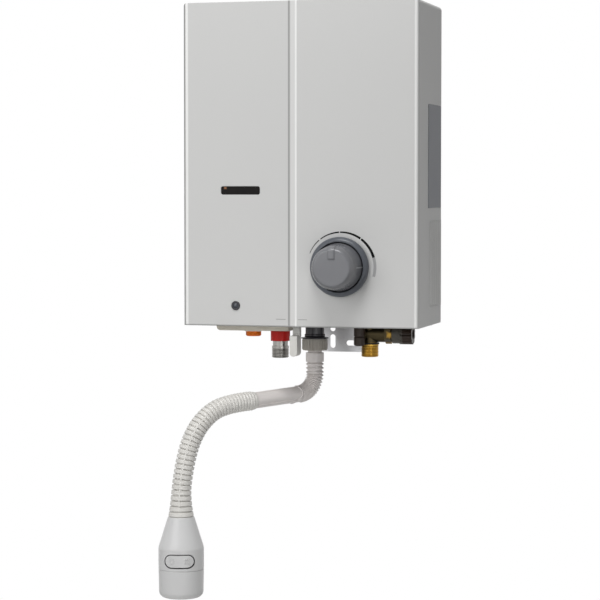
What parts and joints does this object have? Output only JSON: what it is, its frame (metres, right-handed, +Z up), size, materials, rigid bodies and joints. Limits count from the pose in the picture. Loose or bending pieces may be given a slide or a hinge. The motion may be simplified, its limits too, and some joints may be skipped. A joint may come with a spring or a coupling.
{
  "type": "tankless gas water heater",
  "caption": "Wall-hung instantaneous gas water heater with a push-and-turn knob, flame window, threaded gas and water inlets, and a swivelling spout with a ribbed hose and shower head.",
  "frame": {"origin": "midway between the two upper wall-screw holes, on the wall plane", "axes": "+X to the right as seen from the front, +Y into the wall (the front faces -Y), +Z up"},
  "size_m": [0.3, 0.2329, 0.7026],
  "materials": {
    "cover_paint": "satin",
    "plate_steel": "satin",
    "sheet_steel": "satin",
    "screw_steel": "polished",
    "burner_steel": "matte",
    "copper": "satin",
    "brass": "satin",
    "cast_alloy": "matte",
    "gas_steel": "satin",
    "window_glass": "polished",
    "bezel_plastic": "satin",
    "knob_plastic": "satin",
    "dark_plastic": "satin",
    "lens": "polished",
    "beige_plastic": "satin",
    "battery_wrap": "gloss",
    "contact_metal": "polished",
    "ceramic": "gloss",
    "orange_plastic": "satin",
    "red_band": "satin",
    "brown_plastic": "satin",
    "black_rubber": "matte",
    "nut_plastic": "satin",
    "spout_plastic": "satin",
    "hose_plastic": "satin",
    "head_plastic": "satin",
    "rocker_plastic": "satin"
  },
  "bodies": {
    "heater": {"back_plate": "plate_steel", "front_cover": "cover_paint", "exhaust_grille": "sheet_steel", "cover_screws": "screw_steel", "window_pane": "window_glass", "knob_bezel": "bezel_plastic", "lamp_bezel": "dark_plastic", "lamp_lens": "lens", "exhaust_hood": "sheet_steel", "exchanger_fins": "copper", "exchanger_tubes": "copper", "combustion_chamber": "copper", "chamber_brackets": "plate_steel", "burner_frame": "sheet_steel", "burner_blades": "burner_steel", "burner_manifold": "cast_alloy", "gas_riser": "cast_alloy", "igniter": "ceramic", "flame_sensor": "ceramic", "control_box": "dark_plastic", "gas_valve_body": "cast_alloy", "gas_solenoid": "dark_plastic", "gas_inlet_pipe": "gas_steel", "gas_band": "red_band", "governor_body": "brass", "governor_diaphragm": "black_rubber", "governor_cover": "brass", "governor_screws": "screw_steel", "water_inlet_body": "brass", "inlet_ring": "black_rubber", "relief_plug": "brown_plastic", "cold_pipe": "copper", "hot_pipe": "copper", "drain_pipe": "copper", "outlet_spigot": "dark_plastic", "union_nut": "nut_plastic", "outlet_gasket": "black_rubber", "spindle_spring": "contact_metal", "lever_bracket": "plate_steel", "battery_housing": "beige_plastic", "lid_pin": "screw_steel", "battery_cell": "battery_wrap", "battery_contacts": "contact_metal"},
    "spindle": {"push_spindle": "screw_steel"},
    "knob": {"knob": "knob_plastic"},
    "lever": {"capacity_lever": "nut_plastic"},
    "lid": {"battery_lid": "beige_plastic"},
    "drain_plug": {"drain_plug": "orange_plastic"},
    "filter_cap": {"filter_cap": "dark_plastic", "filter_strainer": "contact_metal"},
    "spout": {"spout_tail": "spout_plastic", "spout_elbow": "spout_plastic", "spout_tube": "spout_plastic", "spout_hose": "hose_plastic", "head_shell": "head_plastic", "spray_plate": "spout_plastic", "rocker_pin": "screw_steel"},
    "rocker": {"head_rocker": "rocker_plastic"}
  },
  "joints": [
    {"name": "control_push", "type": "slide", "parent": "heater", "child": "spindle", "axis": [0, 1, 0], "range_m": [0, 0.006], "stiffness_N_per_m": 900, "springref_m": -0.006, "deforming": ["spindle_spring"]},
    {"name": "knob_turn", "type": "hinge", "parent": "spindle", "child": "knob", "pos_m": [0.0515, -0.16, -0.288], "axis": [0, 1, 0], "range_deg": [-105, 105]},
    {"name": "capacity_slide", "type": "slide", "parent": "heater", "child": "lever", "axis": [1, 0, 0], "range_m": [-0.016, 0]},
    {"name": "battery_lid_hinge", "type": "hinge", "parent": "heater", "child": "lid", "pos_m": [-0.065, -0.071, -0.3616], "axis": [1, 0, 0], "range_deg": [0, 95]},
    {"name": "drain_plug_turn", "type": "hinge", "parent": "heater", "child": "drain_plug", "pos_m": [-0.0815, -0.0465, -0.37], "axis": [0, 0, 1], "range_deg": [0, 90]},
    {"name": "filter_cap_turn", "type": "hinge", "parent": "heater", "child": "filter_cap", "pos_m": [0.11, -0.06, -0.3715], "axis": [1, 0, 0], "range_deg": [0, 90]},
    {"name": "spout_swivel", "type": "hinge", "parent": "heater", "child": "spout", "pos_m": [0.0035, -0.075, -0.388], "axis": [0, 0, 1], "range_deg": [-45, 135]},
    {"name": "spray_rocker", "type": "hinge", "parent": "spout", "child": "rocker", "pos_m": [-0.12249, -0.2253, -0.631], "axis": [0, 0, 1], "range_deg": [-5, 5]}
  ]
}
